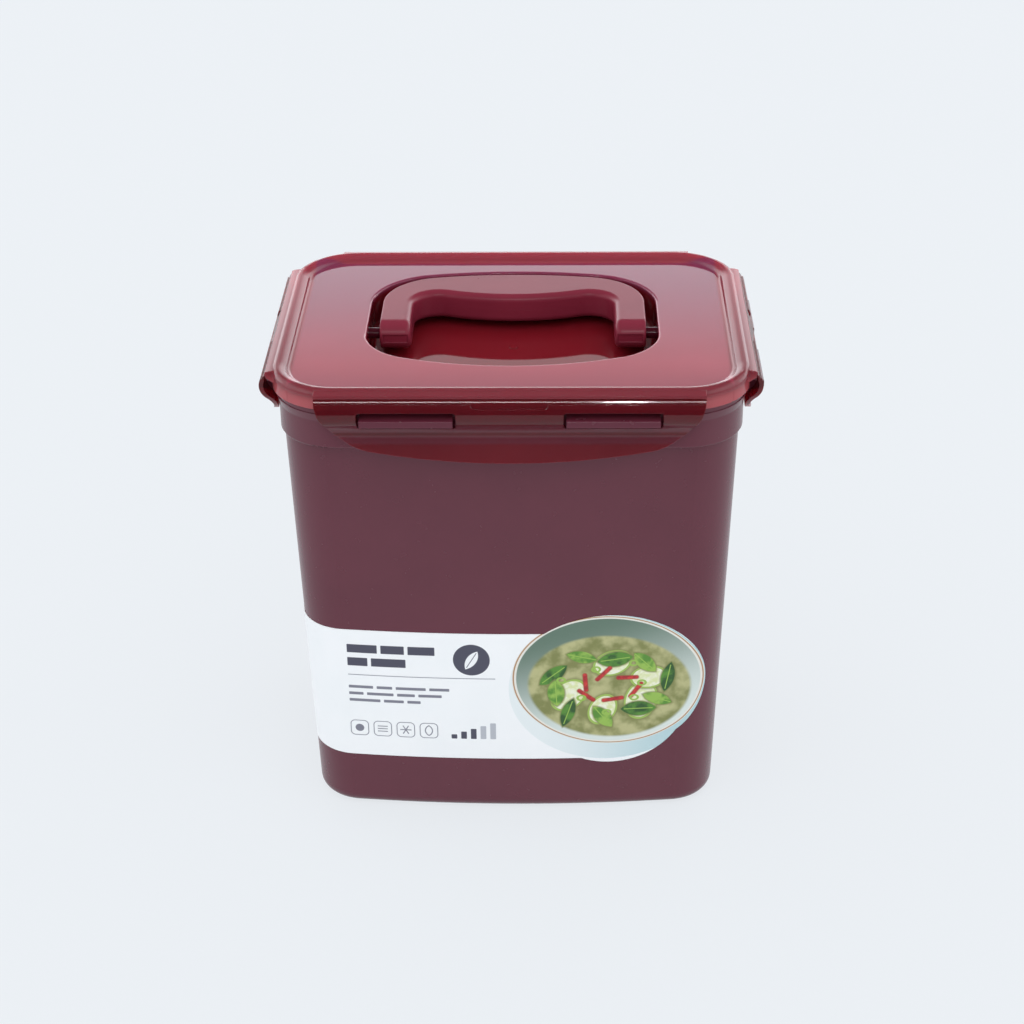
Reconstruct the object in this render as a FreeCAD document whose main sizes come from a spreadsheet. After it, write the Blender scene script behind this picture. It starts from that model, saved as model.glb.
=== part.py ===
import FreeCAD, Part
import math
import os
import re
import Sketcher

# Kimchi container: a tall drafted tub, a lid with four hinged latches, a seal in the lid's
# channel, a fold-down handle in the lid's recess, and a label on the front wall.
# Origin at the middle of the base, +Z up, the labelled front faces -Y. Millimetres.

# Driving sizes, each with its name in the sheet
SIZES = {
    "Lid outline, from which every other outline is offset": {
        "lid_half_width": 99.4,
        "lid_half_depth": 73.3,
        "lid_corner": 26.5,
        "panel_level": 215.0,
        "panel_wall": 2.0,
    },
    "Rim section: reach outside the lid outline, rise above the panel": {
        "foot_inset": 6.2,
        "foot_round": 2.0,
        "slope_inset": 4.8,
        "slope_rise": 1.0,
        "slope_round": 3.5,
        "crown_inset": 3.2,
        "crown_rise": 2.4,
        "crown_round": 4.6,
        "rim_rise": 3.0,
        "rim_top_inset": 0.2,
        "roll_radius": 3.1,
        "roll_reach": 1.9,
        "roll_drop": 0.4,
        "skirt_reach": 1.7,
        "skirt_wall": 1.6,
        "skirt_drop": 6.3,
        "skirt_step": 0.35,
        "roof_rise": 0.8,
        "plug_drop": 7.5,
        "plug_wall": 1.6,
    },
    "Tub": {
        "brim_gap": 0.3,
        "brim_drop": 2.6,
        "brim_wall": 2.4,
        "plug_gap": 0.5,
        "flange_reach": 0.33,
        "flange_drop": 9.0,
        "flange_foot_drop": 12.7,
        "flange_round": 0.3,
        "band_inset": 0.75,
        "step_drop": 25.1,
        "step_floor": 2.2,
        "tub_wall": 2.2,
        "base_wall": 2.6,
        "base_round": 5.5,
        "inner_round": 6.0,
        "edge_round": 0.8,
        "foot_ring": 6.0,
        "foot_depth": 1.2,
    },
    "Bowed lower wall: places of its corner centres at the step and at the foot": {
        "wall_corner": 20.7,
        "front_bow": 690.0,
        "side_bow": 2000.0,
        "step_centre_wide": 76.5,
        "step_centre_deep": 46.0,
        "foot_centre_wide": 70.5,
        "foot_centre_deep": 43.4,
    },
    "Lugs": {
        "lug_reach": 8.2,
        "lug_root_inset": 1.2,
        "lug_top_drop": 7.8,
        "lug_top_slope": 0.3,
        "lug_root_drop": 13.6,
        "lug_tip_drop": 11.3,
        "lug_round": 0.5,
        "front_lug_length": 38.7,
        "front_lug_place": 42.8,
        "side_lug_length": 31.0,
        "side_lug_place": 26.8,
    },
    "Seal": {
        "seal_fit": 0.1,
        "seal_round": 0.6,
    },
    "Latch section: two tangent arcs and a flared lip": {
        "bulge_radius": 10.1,
        "bulge_inset": 3.2,
        "bulge_drop": 5.6,
        "latch_wall": 1.9,
        "trough_reach": 2.0,
        "trough_radius": 8.0,
        "flare_angle": 24.0,
        "flare_length": 12.0,
        "plate_angle": 25.0,
        "notch_angle": 12.6,
        "notch_half_width": 16.0,
        "notch_round": 1.8,
    },
    "Latch outline seen square on": {
        "front_latch_half": 80.9,
        "side_latch_half": 54.8,
        "latch_corner": 26.5,
        "latch_corner_rise": 1.95,
        "latch_bow": 385.0,
        "window_top_drop": 5.0,
        "window_low_drop": 13.9,
        "window_round": 1.2,
        "window_side_gap": 1.15,
    },
    "Latch hinge": {
        "hinge_angle": 34.5,
        "hinge_inset": 1.0,
        "bead_radius": 0.45,
        "bead_gap": 0.3,
        "ledge_angle": 45.5,
        "ledge_top_rise": 2.35,
        "ledge_start": 0.6,
        "ledge_crown": 9.0,
        "ledge_root": 2.0,
        "ledge_seat_rise": 1.2,
        "ledge_cup_top": 101.0,
        "ledge_cup_low": 215.0,
        "ledge_low_drop": 3.2,
        "ledge_low_reach": 0.35,
    },
    "Handle recess": {
        "recess_half": 63.8,
        "recess_back_radius": 31.3,
        "recess_back_centre": 21.5,
        "recess_back_bow": 205.0,
        "recess_front_radius": 26.5,
        "recess_front_centre": 11.0,
        "recess_front_bow": 135.0,
        "recess_depth": 15.5,
        "recess_wall": 1.8,
        "recess_lip_round": 1.0,
        "recess_floor_round": 3.0,
        "gate_place": 7.0,
        "gate_radius": 2.0,
        "gate_height": 0.3,
    },
    "Handle": {
        "handle_gap": 5.1,
        "handle_corner": 27.5,
        "handle_bow": 210.0,
        "arm_width": 13.7,
        "grip_corner": 11.0,
        "grip_corner_centre": 20.9,
        "grip_bow": 94.0,
        "handle_rise": 0.8,
        "handle_floor_gap": 3.1,
        "pivot_place": 1.4,
        "knuckle_slot_wide": 11.0,
        "knuckle_slot_tall": 3.7,
        "knuckle_slot_deep": 0.8,
        "pin_radius": 2.5,
        "pin_fit": 0.08,
        "pin_length": 8.2,
        "pin_end_gap": 0.3,
        "housing_wall": 2.2,
        "finger_round": 3.0,
        "handle_edge_round": 0.8,
        "core_wall": 3.4,
        "core_depth": 9.5,
        "rib_wall": 1.6,
        "rib_pitch": 15.0,
        "rib_recess": 1.0,
    },
    "Label": {
        "label_gap": 0.04,
        "label_wall": 0.26,
        "label_top_drop": 118.7,
        "label_low_drop": 186.3,
        "bowl_place": 42.5,
        "bowl_drop": 146.2,
        "bowl_half_width": 43.5,
        "bowl_half_height": 36.6,
        "bowl_end": 33.0,
        "bowl_belly": 35.3,
        "bowl_foot_start": 12.1,
        "label_side_end": 8.0,
    },
}

doc = FreeCAD.newDocument("kimchi_container")
sheet = doc.addObject("Spreadsheet::Sheet", "Size")
sheet.Label = "sizes"
ALIASES = set()
row = 1
for heading, sizes in SIZES.items():
    sheet.set(f"A{row}", heading)
    row += 1
    for alias, number in sizes.items():
        sheet.set(f"A{row}", alias.replace("_", " "))
        sheet.set(f"B{row}", str(number))
        sheet.setAlias(f"B{row}", alias)
        ALIASES.add(alias)
        row += 1
doc.recompute()


def full(expression):
    """Write the sheet's name before each size in an expression."""
    return re.sub(r"[a-z_]+", lambda word: "Size." * (word[0] in ALIASES) + word[0], str(expression))


def value(expression):
    """Work an expression out from the sheet."""
    return float(sheet.evalExpression(full(expression)))


# Levels above the base, and offsets of the outlines, as expressions of the sheet's sizes
PANEL = "panel_level"
FLANGE = "(panel_level - flange_drop)"
FLANGE_FOOT = "(panel_level - flange_foot_drop)"
STEP = "(panel_level - step_drop)"
BRIM = "(panel_level - brim_drop)"
RECESS_FLOOR = "(panel_level - recess_depth)"
BRIM_REACH = "(skirt_reach - skirt_wall - brim_gap)"
PLUG_REACH = f"({BRIM_REACH} - brim_wall - plug_gap)"
LUG_TOP = "(panel_level - lug_top_drop)"
HANDLE_TOP = "(panel_level + handle_rise)"
HANDLE_LOW = f"({RECESS_FLOOR} + handle_floor_gap)"
KNUCKLE = f"(({HANDLE_TOP} - {HANDLE_LOW}) / 2)"
PIVOT = f"({HANDLE_LOW} + {KNUCKLE})"


def new_body(name):
    """A body whose label is the node's name."""
    body = doc.addObject("PartDesign::Body", name)
    body.Label = name
    return body


def new_sketch(body, name, role, offset="0"):
    """A sketch on one of the body's own origin planes, moved along the plane's normal."""
    plane = next(item for item in body.Origin.OriginFeatures if item.Role == role)
    sketch = body.newObject("Sketcher::SketchObject", name)
    sketch.AttachmentSupport = [(plane, "")]
    sketch.MapMode = "FlatFace"
    sketch.setExpression("AttachmentOffset.Base.z", full(offset))
    return sketch


def bind(sketch, kind, items, expression, name):
    """One dimension of a sketch, tied to the sheet."""
    index = sketch.addConstraint(Sketcher.Constraint(kind, *items, value(expression)))
    sketch.renameConstraint(index, name)
    sketch.setExpression(f"Constraints.{name}", full(expression))


def arc_between(start, end, radius, turn):
    """The short arc from start to end that turns left (1) or right (-1), and its centre's side."""
    chord = end - start
    left = FreeCAD.Vector(-chord.y, chord.x, 0).normalize()
    rise = math.sqrt(max(radius ** 2 - (chord.Length / 2) ** 2, 0))
    centre = (start + end) / 2 + left * rise * turn
    first, last = (start, end) if turn > 0 else (end, start)
    angles = [math.atan2(point.y - centre.y, point.x - centre.x) for point in (first, last)]
    circle = Part.Circle(centre, FreeCAD.Vector(0, 0, 1), radius)
    return Part.ArcOfCircle(circle, angles[0], angles[1])


def outline(sketch, corners, prefix="p"):
    """A closed outline through corners (x, y), each followed by a line, or by an arc where the
    corner also gives a radius and a turn. Every corner and radius is tied to the sheet."""
    points = [FreeCAD.Vector(value(corner[0]), value(corner[1]), 0) for corner in corners]
    ends = []
    for index, corner in enumerate(corners):
        start, end = points[index], points[(index + 1) % len(points)]
        if len(corner) == 2:
            geometry = sketch.addGeometry(Part.LineSegment(start, end))
            ends.append((geometry, 1, 2))
            continue
        geometry = sketch.addGeometry(arc_between(start, end, value(corner[2]), corner[3]))
        ends.append((geometry, 1, 2) if corner[3] > 0 else (geometry, 2, 1))
    for index, corner in enumerate(corners):
        geometry, first, last = ends[index]
        following, its_first, its_last = ends[(index + 1) % len(ends)]
        sketch.addConstraint(Sketcher.Constraint("Coincident", geometry, last, following, its_first))
    for index, corner in enumerate(corners):
        geometry, first, last = ends[index]
        bind(sketch, "DistanceX", (-1, 1, geometry, first), corner[0], f"{prefix}{index}x")
        bind(sketch, "DistanceY", (-1, 1, geometry, first), corner[1], f"{prefix}{index}y")
        if len(corner) > 2:
            bind(sketch, "Radius", (geometry,), corner[2], f"{prefix}{index}r")


def circle(sketch, across, up, radius):
    """A circle at a place given by the sheet."""
    geometry = sketch.addGeometry(Part.Circle(
        FreeCAD.Vector(value(across), value(up), 0), FreeCAD.Vector(0, 0, 1), value(radius)))
    bind(sketch, "DistanceX", (-1, 1, geometry, 3), across, "centre_x")
    bind(sketch, "DistanceY", (-1, 1, geometry, 3), up, "centre_y")
    bind(sketch, "Radius", (geometry,), radius, "radius")


def round_rectangle(sketch, reach, prefix="p"):
    """The lid's outline offset by a reach, as a rounded rectangle about the middle."""
    wide, deep = f"(lid_half_width + {reach})", f"(lid_half_depth + {reach})"
    radius = f"(lid_corner + {reach})"
    corners = []
    for x_side, y_side in ((1, -1), (1, 1), (-1, 1), (-1, -1)):
        along = (f"{x_side} * ({wide} - {radius})", f"{y_side} * {deep}")
        across = (f"{x_side} * {wide}", f"{y_side} * ({deep} - {radius})")
        first, last = (along, across) if x_side * y_side < 0 else (across, along)
        corners += [(*first, radius, 1), last]
    outline(sketch, corners, prefix)


def outline_sketch(body, name, level, reach):
    """A level sketch of the lid's outline offset by a reach."""
    sketch = new_sketch(body, name, "XY_Plane", level)
    round_rectangle(sketch, reach)
    return sketch


def wall_outline(body, name, level, reach):
    """A level sketch of the tub's lower wall offset by a reach: four bows between round corners."""
    sketch = new_sketch(body, name, "XY_Plane", level)
    wide, deep = (f"(foot_centre_{way} + (step_centre_{way} - foot_centre_{way}) * {level} / {STEP})"
                  for way in ("wide", "deep"))
    radius, front, side = f"(wall_corner + {reach})", f"(front_bow + {reach})", f"(side_bow + {reach})"
    front_lean, side_lean = f"({wide} / (front_bow - wall_corner))", f"({deep} / (side_bow - wall_corner))"
    along = (f"({wide} + {radius} * {front_lean})", f"({deep} + {radius} * sqrt(1 - {front_lean} ^ 2))")
    across = (f"({wide} + {radius} * sqrt(1 - {side_lean} ^ 2))", f"({deep} + {radius} * {side_lean})")
    corners = []
    for x_side, y_side in ((1, -1), (1, 1), (-1, 1), (-1, -1)):
        first, last, bow = (along, across, side) if x_side * y_side < 0 else (across, along, front)
        corners += [(f"{x_side} * {first[0]}", f"{y_side} * {first[1]}", radius, 1),
                    (f"{x_side} * {last[0]}", f"{y_side} * {last[1]}", bow, 1)]
    outline(sketch, corners)
    return sketch


def extrude(body, kind, name, sketch, length, both_ways=False, reverse=False):
    """A pad or a pocket of a sketch."""
    feature = body.newObject(f"PartDesign::{kind}", name)
    feature.Profile = sketch
    feature.SideType = "Symmetric" if both_ways else "One side"
    feature.Reversed = reverse
    feature.setExpression("Length", full(length))
    body.Tip = feature
    return feature


def loft(body, kind, name, sketches):
    """A drafted solid, or a drafted hollow, between two outlines."""
    feature = body.newObject(f"PartDesign::{kind}", name)
    feature.Profile = sketches[0]
    feature.Sections = sketches[1:]
    feature.Ruled = True
    body.Tip = feature
    return feature


def round_edges(body, name, radius, wanted):
    """A fillet on the edges of the body's last feature whose boxes pass a test."""
    doc.recompute()
    base = body.Tip
    names = [f"Edge{index}" for index, edge in enumerate(base.Shape.Edges, 1) if wanted(edge.BoundBox)]
    if not names:
        raise RuntimeError(f"{name} finds no edge")
    feature = body.newObject("PartDesign::Fillet", name)
    feature.Base = (base, names)
    feature.setExpression("Radius", full(radius))
    body.Tip = feature
    return feature


def at_level(level):
    """A test for the edges that lie at a height."""
    height = value(level)
    return lambda box: abs(box.ZMin - height) < 1e-4 and abs(box.ZMax - height) < 1e-4


# The four sides of the lid: plane of a section, sign of outward, half size of the lid there
SIDES = {
    "front": ("YZ_Plane", -1, "lid_half_depth"),
    "back": ("YZ_Plane", 1, "lid_half_depth"),
    "left": ("XZ_Plane", -1, "lid_half_width"),
    "right": ("XZ_Plane", 1, "lid_half_width"),
}


def side_section(sketch, side, corners):
    """A closed section on one side, from corners (reach outside the lid's outline, level)."""
    sign, half = SIDES[side][1:]
    placed = []
    for corner in corners:
        spot = [f"{sign} * ({half} + {corner[0]})", corner[1]]
        placed.append(tuple(spot) if len(corner) == 2 else (*spot, corner[2], sign * corner[3]))
    outline(sketch, placed)


def make_tub():
    """The container: bowed lower wall, upright band, flange, brim, lugs and foot ring."""
    body = new_body("container_body")
    lower = [wall_outline(body, "wall_top", STEP, "0"), wall_outline(body, "wall_foot", "0", "0")]
    loft(body, "AdditiveLoft", "lower_wall", lower)
    round_edges(body, "base_edge", "base_round", at_level("0"))
    band = outline_sketch(body, "band_outline", STEP, "(-band_inset)")
    extrude(body, "Pad", "band", band, f"{FLANGE_FOOT} - {STEP}")
    round_edges(body, "band_edge", "edge_round", lambda box: at_level(STEP)(box) and is_band_edge(box))
    flange = [outline_sketch(body, "flange_foot", FLANGE_FOOT, "(-band_inset)"),
              outline_sketch(body, "flange_top", FLANGE, "flange_reach")]
    loft(body, "AdditiveLoft", "flange", flange)
    round_edges(body, "flange_edge", "flange_round", at_level(FLANGE))
    brim = outline_sketch(body, "brim_outline", FLANGE, BRIM_REACH)
    extrude(body, "Pad", "brim", brim, f"{BRIM} - {FLANGE}")
    for side, (plane, sign, half) in SIDES.items():
        family = "front" if plane == "YZ_Plane" else "side"
        for hand in (-1, 1):
            name = f"{side}_lug_{'a' if hand < 0 else 'b'}"
            section = new_sketch(body, f"{name}_section", plane, f"{hand} * {family}_lug_place")
            side_section(section, side, [
                ("(-lug_root_inset)", LUG_TOP),
                ("(lug_reach - lug_round)", f"({LUG_TOP} - lug_top_slope)", "lug_round", -1),
                ("lug_reach", f"({LUG_TOP} - lug_top_slope - lug_round)"),
                ("lug_reach", "(panel_level - lug_tip_drop + lug_round)", "lug_round", -1),
                ("(lug_reach - lug_round)", "(panel_level - lug_tip_drop)"),
                ("(-band_inset)", "(panel_level - lug_root_drop)"),
                ("(-lug_root_inset)", "(panel_level - lug_root_drop)"),
            ])
            extrude(body, "Pad", name, section, f"{family}_lug_length", both_ways=True)
    mouth = [outline_sketch(body, "mouth", BRIM, f"({BRIM_REACH} - brim_wall)"),
             outline_sketch(body, "inner_band", FLANGE_FOOT, "(-band_inset - tub_wall)"),
             wall_outline(body, "inner_step", f"({STEP} + step_floor)", "(-tub_wall)"),
             wall_outline(body, "floor", "base_wall", "(-tub_wall)")]
    loft(body, "SubtractiveLoft", "inside", mouth)
    round_edges(body, "floor_edge", "inner_round", at_level("base_wall"))
    foot = wall_outline(body, "foot_outline", "0", "(-base_round - foot_ring)")
    extrude(body, "Pocket", "foot_recess", foot, "foot_depth", reverse=True)
    return body


def is_band_edge(box):
    """The band's lower edge lies outside the lower wall."""
    reach = max(abs(box.XMax) - value("lid_half_width"), abs(box.XMin) - value("lid_half_width"),
                abs(box.YMax) - value("lid_half_depth"), abs(box.YMin) - value("lid_half_depth"))
    return reach > -value("band_inset") - 0.01


def bulge_point(radius, angle):
    """A point about the bulge's centre, as reach and level."""
    return (f"({radius} * cos({angle} * 1deg) - bulge_inset)",
            f"(panel_level - bulge_drop + {radius} * sin({angle} * 1deg))")


HINGE = bulge_point("(bulge_radius - hinge_inset)", "hinge_angle")


def hinge_point(radius, angle):
    """A point about a latch's hinge axis, as reach and level."""
    return f"({HINGE[0]} + {radius} * cos({angle} * 1deg))", f"({HINGE[1]} + {radius} * sin({angle} * 1deg))"


def recess_outline(sketch, reach):
    """The handle recess offset by a reach: straight sides, round corners, bowed front and back."""
    corners = []
    for end, sign in (("front", -1), ("back", 1)):
        radius, centre = f"(recess_{end}_radius + {reach})", f"recess_{end}_centre"
        bow = f"(recess_{end}_bow + {reach})"
        lean = f"((recess_half - recess_{end}_radius) / (recess_{end}_bow - recess_{end}_radius))"
        join = (f"({bow} * {lean})", f"({centre} + {radius} * sqrt(1 - {lean} ^ 2))")
        side = f"(recess_half + {reach})"
        corners += [
            (f"{sign} * {side}", f"{sign} * {centre}", radius, 1),
            (f"{sign} * {join[0]}", f"{sign} * {join[1]}", bow, 1),
            (f"{-sign} * {join[0]}", f"{sign} * {join[1]}", radius, 1),
            (f"{-sign} * {side}", f"{sign} * {centre}"),
        ]
    outline(sketch, corners)


def is_recess_edge(box):
    """The recess keeps well inside the lid's outline, unlike the rim."""
    wide, deep = value("lid_half_width - 2 * foot_inset"), value("lid_half_depth - 2 * foot_inset")
    return max(box.XMax, -box.XMin) < wide and max(box.YMax, -box.YMin) < deep


def make_lid():
    """The lid: panel, raised rim with skirt and plug, latch ledges and the handle's recess."""
    body = new_body("lid_panel")
    panel = outline_sketch(body, "panel_outline", f"({PANEL} - panel_wall)", "(-foot_inset - foot_round / 2)")
    extrude(body, "Pad", "panel", panel, "panel_wall")
    path = outline_sketch(body, "rim_path", PANEL, "0")
    section = new_sketch(body, "rim_section", "YZ_Plane")
    skirt_inner = "(skirt_reach - skirt_wall)"
    rim = [
        ("(-foot_inset - foot_round)", PANEL),
        ("(-foot_inset)", PANEL, "foot_round", 1),
        ("(-slope_inset)", f"({PANEL} + slope_rise)", "slope_round", -1),
        ("(-crown_inset)", f"({PANEL} + crown_rise)", "crown_round", -1),
        ("(-rim_top_inset)", f"({PANEL} + rim_rise)", "roll_radius", -1),
        ("roll_reach", f"({PANEL} - roll_drop)"),
        ("(roll_reach - skirt_step)", f"({PANEL} - roll_drop - skirt_step)"),
        ("skirt_reach", f"({PANEL} - skirt_drop + skirt_step)"),
        ("(skirt_reach - skirt_step)", f"({PANEL} - skirt_drop)"),
        (skirt_inner, f"({PANEL} - skirt_drop)"),
        (skirt_inner, f"({PANEL} + roof_rise)"),
        (PLUG_REACH, f"({PANEL} + roof_rise)"),
        (PLUG_REACH, f"({PANEL} - plug_drop)"),
        (f"({PLUG_REACH} - plug_wall)", f"({PANEL} - plug_drop)"),
        (f"({PLUG_REACH} - plug_wall)", f"({PANEL} - panel_wall)"),
        ("(-foot_inset - foot_round)", f"({PANEL} - panel_wall)"),
    ]
    side_section(section, "front", rim)
    pipe = body.newObject("PartDesign::AdditivePipe", "rim")
    pipe.Profile = section
    pipe.Spine = (path, [])
    body.Tip = pipe
    for side, (plane, sign, half) in SIDES.items():
        family = "front" if plane == "YZ_Plane" else "side"
        ledge = new_sketch(body, f"{side}_ledge_section", plane)
        ridge = bulge_point("bulge_radius", "ledge_angle")
        near = "(bead_radius + bead_gap)"
        side_section(ledge, side, [
            ("(-ledge_root)", "(panel_level + ledge_seat_rise)"),
            ("(-ledge_root)", "(panel_level + ledge_top_rise)"),
            ("ledge_start", "(panel_level + ledge_top_rise)", "ledge_crown", -1),
            ridge,
            (*hinge_point(near, "ledge_cup_top"), near, 1),
            hinge_point(near, "ledge_cup_low"),
            ("ledge_low_reach", "(panel_level - ledge_low_drop)"),
            ("ledge_low_reach", "(panel_level + ledge_seat_rise)"),
        ])
        extrude(body, "Pad", f"{side}_ledge", ledge, f"2 * {family}_latch_half", both_ways=True)
    shell = new_sketch(body, "recess_shell_outline", "XY_Plane", f"({RECESS_FLOOR} - recess_wall)")
    recess_outline(shell, "recess_wall")
    extrude(body, "Pad", "recess_shell", shell, "(recess_depth + recess_wall - panel_wall / 2)")
    round_edges(body, "recess_shell_edge", "(recess_floor_round + recess_wall)",
                at_level(f"({RECESS_FLOOR} - recess_wall)"))
    for hand in (-1, 1):
        name = "left" if hand < 0 else "right"
        start, length = "(recess_half + recess_wall / 2)", "(pin_length - handle_gap + housing_wall)"
        housing = new_sketch(body, f"{name}_housing_outline", "YZ_Plane", f"{hand} * {start}")
        circle(housing, "pivot_place", PIVOT, "(pin_radius + housing_wall)")
        extrude(body, "Pad", f"{name}_housing", housing, length, reverse=hand < 0)
    hollow = new_sketch(body, "recess_outline", "XY_Plane", PANEL)
    recess_outline(hollow, "0")
    extrude(body, "Pocket", "recess", hollow, "recess_depth")
    round_edges(body, "recess_floor_edge", "recess_floor_round", at_level(RECESS_FLOOR))
    round_edges(body, "recess_lip", "recess_lip_round",
                lambda box: at_level(PANEL)(box) and is_recess_edge(box))
    gate = new_sketch(body, "gate_outline", "XY_Plane", RECESS_FLOOR)
    circle(gate, "0", "gate_place", "gate_radius")
    extrude(body, "Pad", "gate_mark", gate, "gate_height")
    for hand in (-1, 1):
        name = "left" if hand < 0 else "right"
        start, length = "(recess_half - handle_gap / 2)", "(pin_length - handle_gap / 2 + pin_end_gap)"
        bore = new_sketch(body, f"{name}_bore_outline", "YZ_Plane", f"{hand} * {start}")
        circle(bore, "pivot_place", PIVOT, "(pin_radius + pin_fit)")
        extrude(body, "Pocket", f"{name}_bore", bore, length, reverse=hand > 0)
    return body


def make_seal():
    """The silicone seal that fills the roof of the lid's channel and presses on the brim."""
    body = new_body("lid_seal")
    path = outline_sketch(body, "seal_path", PANEL, "0")
    section = new_sketch(body, "seal_section", "YZ_Plane")
    outer = "(skirt_reach - skirt_wall - seal_fit)"
    inner = f"({PLUG_REACH} + seal_fit)"
    low = f"({BRIM} + seal_fit)"
    side_section(section, "front", [
        (inner, "(panel_level + roof_rise)"),
        (outer, "(panel_level + roof_rise)"),
        (outer, f"({low} + seal_round)", "seal_round", -1),
        (f"({outer} - seal_round)", low),
        (f"({inner} + seal_round)", low, "seal_round", -1),
        (inner, f"({low} + seal_round)"),
    ])
    pipe = body.newObject("PartDesign::AdditivePipe", "seal_ring")
    pipe.Profile = section
    pipe.Spine = (path, [])
    body.Tip = pipe
    return body


def frame(body, name, role, shape, reach="lid_half_width * 4"):
    """A pocket that removes everything outside an outline seen along a plane's normal."""
    sketch = new_sketch(body, f"{name}_outline", role)
    far = f"({reach})"
    outline(sketch, [(f"-{far}", f"-{far}"), (far, f"-{far}"), (far, far), (f"-{far}", far)], "frame")
    outline(sketch, shape)
    return extrude(body, "Pocket", name, sketch, far, both_ways=True)


def make_latch(name, side, turn):
    """A latch wing, modelled facing +Y and turned to its side of the lid."""
    body = new_body(name)
    family = "front" if side in ("front", "back") else "side"
    half = f"{family}_latch_half"
    run = "(trough_reach + trough_radius + bulge_inset)"
    span = "(bulge_radius + trough_radius)"
    fall = f"sqrt({span} ^ 2 - {run} ^ 2)"
    centre = ("(trough_reach + trough_radius)", f"(panel_level - bulge_drop - {fall})")

    def join(radius):
        return (f"({radius} / {span} * {run} - bulge_inset)",
                f"(panel_level - bulge_drop - {radius} / {span} * {fall})")

    def flare(radius, length):
        return (f"({centre[0]} - {radius} * cos(flare_angle * 1deg) + {length} * sin(flare_angle * 1deg))",
                f"({centre[1]} - {radius} * sin(flare_angle * 1deg) - {length} * cos(flare_angle * 1deg))")

    outer, inner = "bulge_radius", "(bulge_radius - latch_wall)"
    below, under = "trough_radius", "(trough_radius + latch_wall)"
    plate = new_sketch(body, f"{name}_section", "YZ_Plane")
    outline(plate, [
        (*bulge_point(outer, "plate_angle"), outer, -1),
        (*join(outer), below, 1),
        flare(below, "0"),
        flare(below, "flare_length"),
        flare(under, "flare_length"),
        (*flare(under, "0"), under, -1),
        (*join(inner), inner, 1),
        bulge_point(inner, "plate_angle"),
    ])
    extrude(body, "Pad", f"{name}_plate", plate, f"2 * {half}", both_ways=True)
    notch = new_sketch(body, f"{name}_notch_outline", "XZ_Plane")
    low, high = bulge_point(outer, "notch_angle")[1], "(panel_level + rim_rise)"
    outline(notch, [
        ("-notch_half_width", high),
        ("-notch_half_width", f"({low} + notch_round)", "notch_round", 1),
        ("(notch_round - notch_half_width)", low),
        ("(notch_half_width - notch_round)", low, "notch_round", 1),
        ("notch_half_width", f"({low} + notch_round)"),
        ("notch_half_width", high),
    ])
    extrude(body, "Pocket", f"{name}_notch", notch, "8 * bulge_radius", both_ways=True)
    web = new_sketch(body, f"{name}_web_section", "YZ_Plane")
    web_outer = "(bulge_radius - hinge_inset + bead_radius)"
    web_inner = "(bulge_radius - hinge_inset - bead_radius)"
    outline(web, [
        (*bulge_point(web_outer, "hinge_angle"), web_outer, -1),
        bulge_point(web_outer, "(notch_angle / 2)"),
        (*bulge_point(web_inner, "(notch_angle / 2)"), web_inner, 1),
        bulge_point(web_inner, "hinge_angle"),
    ])
    extrude(body, "Pad", f"{name}_web", web, f"2 * {half}", both_ways=True)
    bead = new_sketch(body, f"{name}_bead_section", "YZ_Plane")
    circle(bead, *HINGE, "bead_radius")
    extrude(body, "Pad", f"{name}_bead", bead, f"2 * {half}", both_ways=True)
    for hand in (-1, 1):
        title = f"{name}_window_{'a' if hand < 0 else 'b'}"
        window = new_sketch(body, f"{title}_outline", "XZ_Plane")
        reach = f"({family}_lug_length / 2 + window_side_gap)"
        left, right = f"({hand} * {family}_lug_place - {reach})", f"({hand} * {family}_lug_place + {reach})"
        low, high = "(panel_level - window_low_drop)", "(panel_level - window_top_drop)"
        outline(window, [
            (f"({left} + window_round)", low),
            (f"({right} - window_round)", low, "window_round", 1),
            (right, f"({low} + window_round)"),
            (right, f"({high} - window_round)", "window_round", 1),
            (f"({right} - window_round)", high),
            (f"({left} + window_round)", high, "window_round", 1),
            (left, f"({high} - window_round)"),
            (left, f"({low} + window_round)", "window_round", 1),
        ])
        extrude(body, "Pocket", title, window, "8 * bulge_radius", both_ways=True)
    level = "(panel_level + latch_corner_rise)"
    lean = f"(({half} - latch_corner) / (latch_bow - latch_corner))"
    join_x, join_z = f"(latch_bow * {lean})", f"({level} - latch_corner * sqrt(1 - {lean} ^ 2))"
    frame(body, f"{name}_trim", "XZ_Plane", [
        (f"-{half}", level, "latch_corner", 1),
        (f"-{join_x}", join_z, "latch_bow", 1),
        (join_x, join_z, "latch_corner", 1),
        (half, level),
    ])
    body.Placement.Rotation = FreeCAD.Rotation(FreeCAD.Vector(0, 0, 1), turn)
    plane, sign, distance = SIDES[side]
    axis = "y" if plane == "YZ_Plane" else "x"
    body.setExpression(f"Placement.Base.{axis}", full(f"{sign} * {distance}"))
    return body


HANDLE_HALF = "(recess_half - handle_gap)"
GRIP_BOW_CENTRE = ("(grip_corner_centre + sqrt((grip_bow + grip_corner) ^ 2"
                   f" - ({HANDLE_HALF} - arm_width - grip_corner) ^ 2))")
BACK_BOW_CENTRE = ("(recess_back_centre - sqrt((handle_bow - handle_corner) ^ 2"
                   f" - ({HANDLE_HALF} - handle_corner) ^ 2))")


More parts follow.
